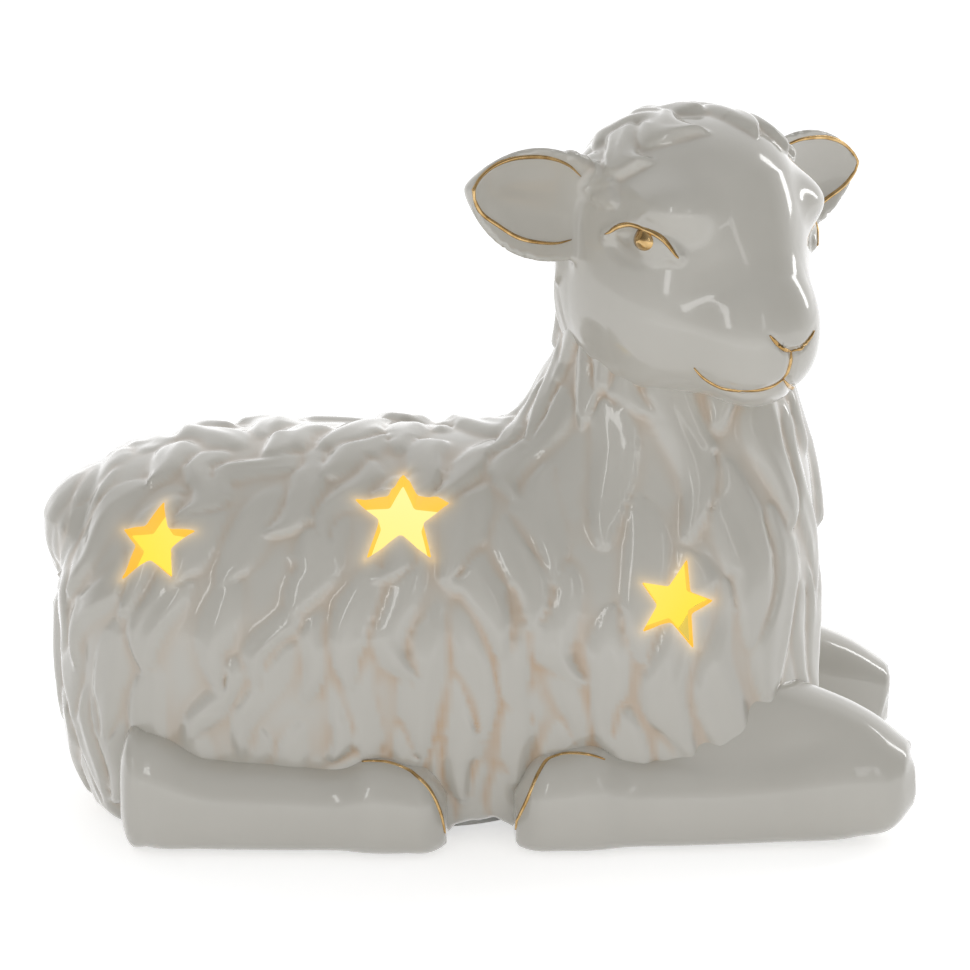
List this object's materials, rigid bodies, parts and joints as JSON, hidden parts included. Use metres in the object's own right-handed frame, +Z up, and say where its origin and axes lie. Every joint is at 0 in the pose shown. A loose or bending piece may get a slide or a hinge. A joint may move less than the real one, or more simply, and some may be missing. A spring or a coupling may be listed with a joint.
{
  "type": "sheep figurine",
  "caption": "Glazed white porcelain sheep lying with folded legs and turned head, gold-lined, with star-shaped windows lit by a battery light unit in its base.",
  "frame": {"origin": "on the table, under the middle of the figure's outline", "axes": "+X from the rump to the chest, +Y to the sheep's left side, +Z up"},
  "size_m": [0.1637, 0.0854, 0.1365],
  "materials": {
    "porcelain": "glossy clear glaze over white porcelain",
    "gold_lustre": "fired bright gold lines",
    "silicone": "soft matt",
    "white_plastic": "fine moulded texture",
    "frosted_plastic": "frosted, translucent",
    "cell_steel": "nickel-plated",
    "screw_steel": "zinc-plated",
    "contact_metal": "nickel-plated spring metal",
    "board_laminate": "lacquered laminate",
    "lamp_resin": "clear warm resin",
    "resistor_body": "lacquered",
    "switch_can": "tinned",
    "black_plastic": "matt"
  },
  "bodies": {
    "figurine": {"fleece_body": "porcelain", "head": "porcelain", "right_ear": "porcelain", "left_ear": "porcelain", "right_foreleg": "porcelain", "left_foreleg": "porcelain", "right_hindleg": "porcelain", "left_hindleg": "porcelain", "tail": "porcelain"},
    "light_unit": {"light_housing": "white_plastic", "grip_ring": "silicone", "lens_dome": "frosted_plastic", "lower_coin_cell": "cell_steel", "upper_coin_cell": "cell_steel", "positive_contact": "contact_metal", "negative_contact": "contact_metal", "circuit_board": "board_laminate", "board_screws": "screw_steel", "leds": "lamp_resin", "resistor": "resistor_body", "switch_body": "switch_can"},
    "battery_door": {"battery_door": "white_plastic"},
    "door_screw": {"door_screw": "screw_steel"},
    "switch_slider": {"switch_slider": "black_plastic"}
  },
  "joints": [
    {"name": "unit_withdraw", "type": "slide", "parent": "figurine", "child": "light_unit", "axis": [0, 0, -1], "range_m": [0, 0.04]},
    {"name": "switch_slide", "type": "slide", "parent": "light_unit", "child": "switch_slider", "axis": [0, 1, 0], "range_m": [0, 0.0025]},
    {"name": "door_swing", "type": "hinge", "parent": "light_unit", "child": "battery_door", "pos_m": [-0.0135, -0.01295, 0.0017], "axis": [-1, 0, 0], "range_deg": [0, 50]},
    {"name": "screw_turn", "type": "hinge", "parent": "battery_door", "child": "door_screw", "pos_m": [-0.0135, 0.0145, 0.001], "axis": [0, 0, 1], "continuous": true}
  ]
}
